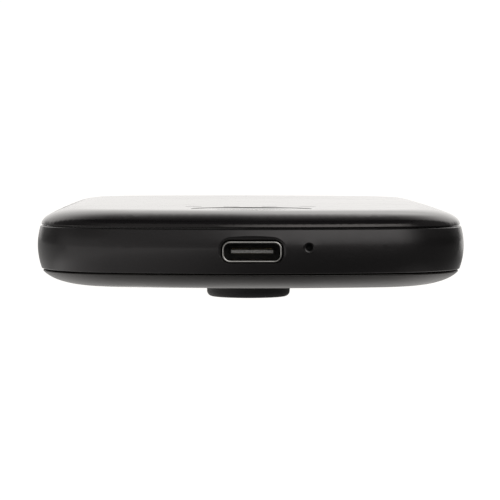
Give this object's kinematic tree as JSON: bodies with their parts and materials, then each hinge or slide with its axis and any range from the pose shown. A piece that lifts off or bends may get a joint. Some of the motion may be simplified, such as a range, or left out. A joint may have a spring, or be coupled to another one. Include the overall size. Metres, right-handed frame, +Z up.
{
  "type": "mobile hotspot",
  "caption": "Pocket mobile hotspot in a flat rounded case with an oval power button, USB-C port, reset pinhole, side SIM tray and a round rubber foot.",
  "frame": {"origin": "on the supporting surface, under the centre of the foot and of the case", "axes": "+Z up through the case's thickness, +Y along its length away from the port end, +X to the side with the SIM tray"},
  "size_m": [0.0666, 0.1078, 0.016],
  "materials": {
    "cover_gloss": "high-gloss black moulding",
    "button_gloss": "high-gloss black cap, slightly dished",
    "light_guide": "smoked clear acrylic, polished",
    "led_white": "pale moulded package",
    "frame_satin": "fine-grained charcoal moulding",
    "tray_satin": "fine-grained charcoal moulding, as the frame",
    "shell_satin": "satin dark grey moulding",
    "foot_rubber": "matte moulded rubber",
    "seal_rubber": "soft black silicone",
    "tape_black": "double-sided foam tape",
    "tape_amber": "polyimide tape, slightly shiny",
    "label_grey": "blank printed-film label, matte",
    "port_steel": "drawn and plated steel",
    "port_plastic": "glass-filled grey insulator",
    "gold": "gold-plated contact",
    "switch_black": "moulded switch housing",
    "switch_white": "moulded switch plunger",
    "screw_black": "black-oxide steel",
    "screw_zinc": "zinc-plated steel",
    "shield_steel": "tin-plated stamped steel",
    "reader_steel": "folded stainless sheet",
    "board_green": "solder-masked glass laminate",
    "chip_black": "moulded epoxy package",
    "inductor_grey": "pressed ferrite",
    "passive_tan": "ceramic chip",
    "thermal_grey": "filled silicone pad",
    "spreader_alu": "rolled sheet",
    "tray_inner": "unpainted black moulding",
    "battery_foil": "laminated pouch foil, satin",
    "connector_white": "moulded nylon",
    "lead_red": "silicone insulation",
    "lead_yellow": "silicone insulation",
    "lead_black": "silicone insulation",
    "antenna_plastic": "moulded carrier",
    "antenna_copper": "plated copper pattern",
    "antenna_film": "flexible circuit film",
    "card_white": "blank card plastic"
  },
  "bodies": {
    "housing": {"top_cover": "cover_gloss", "cover_adhesive": "tape_black", "mid_frame": "frame_satin", "bottom_shell": "shell_satin", "rubber_foot": "foot_rubber", "foot_adhesive": "tape_black", "blank_label": "label_grey", "shell_screws": "screw_black", "power_switch_body": "switch_black", "light_guide": "light_guide", "status_lights": "led_white", "usb_c_shell": "port_steel", "usb_c_tongue": "port_plastic", "usb_c_contacts": "gold", "usb_gasket": "seal_rubber", "reset_switch_body": "switch_black", "sim_reader": "reader_steel", "main_board": "board_green", "modem_shield": "shield_steel", "wifi_shield": "shield_steel", "power_shield": "shield_steel", "modem_chip": "chip_black", "wifi_chip": "chip_black", "power_chip": "chip_black", "memory_chip": "chip_black", "power_inductors": "inductor_grey", "passives": "passive_tan", "thermal_pad": "thermal_grey", "heat_spreader": "spreader_alu", "battery_tray": "tray_inner", "tray_screws": "screw_zinc", "battery_adhesive": "tape_black", "battery_cell": "battery_foil", "battery_board": "board_green", "battery_tape": "tape_amber", "battery_socket": "connector_white", "battery_plug": "connector_white", "positive_lead": "lead_red", "sense_lead": "lead_yellow", "negative_lead": "lead_black", "antenna_carrier": "antenna_plastic", "main_antenna": "antenna_copper", "diversity_antenna": "antenna_film", "wifi_antenna": "antenna_film", "antenna_contacts": "gold"},
    "button": {"power_button": "button_gloss", "power_switch_plunger": "switch_white"},
    "reset": {"reset_plunger": "switch_black"},
    "sim_drawer": {"sim_tray": "tray_satin", "sim_card": "card_white"}
  },
  "joints": [
    {"name": "button_press", "type": "slide", "parent": "housing", "child": "button", "axis": [0, 0, -1], "range_m": [0, 0.0003], "stiffness_N_per_m": 5000},
    {"name": "reset_press", "type": "slide", "parent": "housing", "child": "reset", "axis": [0, 1, 0], "range_m": [0, 0.00025], "stiffness_N_per_m": 4000},
    {"name": "sim_slide", "type": "slide", "parent": "housing", "child": "sim_drawer", "axis": [1, 0, 0], "range_m": [0, 0.014]}
  ]
}
